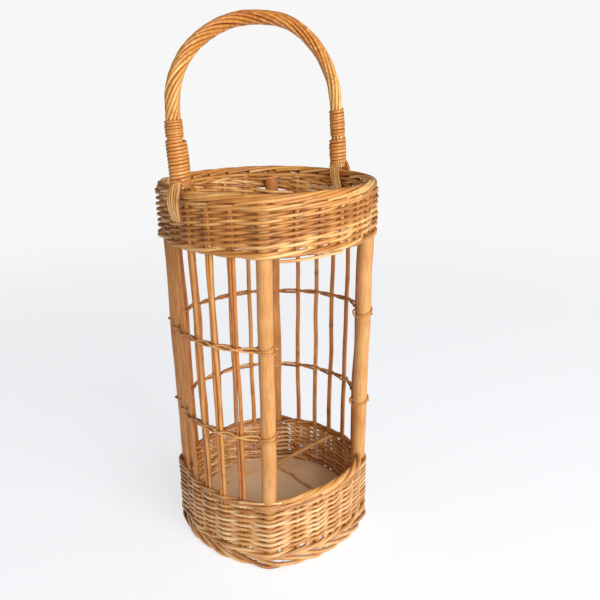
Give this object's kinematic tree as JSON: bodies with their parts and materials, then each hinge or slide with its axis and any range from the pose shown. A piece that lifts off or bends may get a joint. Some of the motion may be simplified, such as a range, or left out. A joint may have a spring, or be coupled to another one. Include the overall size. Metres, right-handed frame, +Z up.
{
  "type": "umbrella stand",
  "caption": "Tall wicker umbrella stand with two woven willow bands, thick corner posts, thin stakes, one open side, a board base and a roped carrying bow.",
  "frame": {"origin": "on the floor, under the middle of the basket", "axes": "+Z up, X along the span of the carrying bow, the open side of the cage faces -Y"},
  "size_m": [0.3089, 0.2754, 0.7101],
  "materials": {
    "post_wood": "matt peeled cane pole",
    "stake_willow": "satin varnished willow",
    "weave_willow": "varnished woven willow",
    "border_willow": "varnished thick willow",
    "ring_willow": "varnished twined willow",
    "handle_willow": "glossy varnished roped willow",
    "binding_cane": "glossy varnished cane",
    "core_wood": "plain peeled willow",
    "base_board": "dull raw hardboard",
    "base_cane": "dull cane"
  },
  "bodies": {
    "root": {"back_stakes": "stake_willow", "base_board": "base_board", "base_cane_long": "base_cane", "base_cane_short": "base_cane", "base_cane_thin": "base_cane", "base_wale": "weave_willow", "foot_border": "border_willow", "front_lower_stakes": "stake_willow", "front_sill": "border_willow", "front_upper_stakes": "stake_willow", "handle_core": "core_wood", "handle_roping": "handle_willow", "left_bye_stakes": "stake_willow", "left_inner_ribbon": "binding_cane", "left_lower_binding": "binding_cane", "left_outer_ribbon": "binding_cane", "left_stakes": "stake_willow", "left_upper_binding": "binding_cane", "lower_ring": "ring_willow", "lower_ring_wraps": "ring_willow", "lower_top_wale": "weave_willow", "lower_weave": "weave_willow", "post_back_left": "post_wood", "post_back_right": "post_wood", "post_front_left": "post_wood", "post_front_right": "post_wood", "right_inner_ribbon": "binding_cane", "right_lower_binding": "binding_cane", "right_outer_ribbon": "binding_cane", "right_stakes": "stake_willow", "right_upper_binding": "binding_cane", "rim_border": "border_willow", "upper_ring": "ring_willow", "upper_ring_wraps": "ring_willow", "upper_wale": "weave_willow", "upper_weave": "weave_willow"}
  },
  "joints": []
}
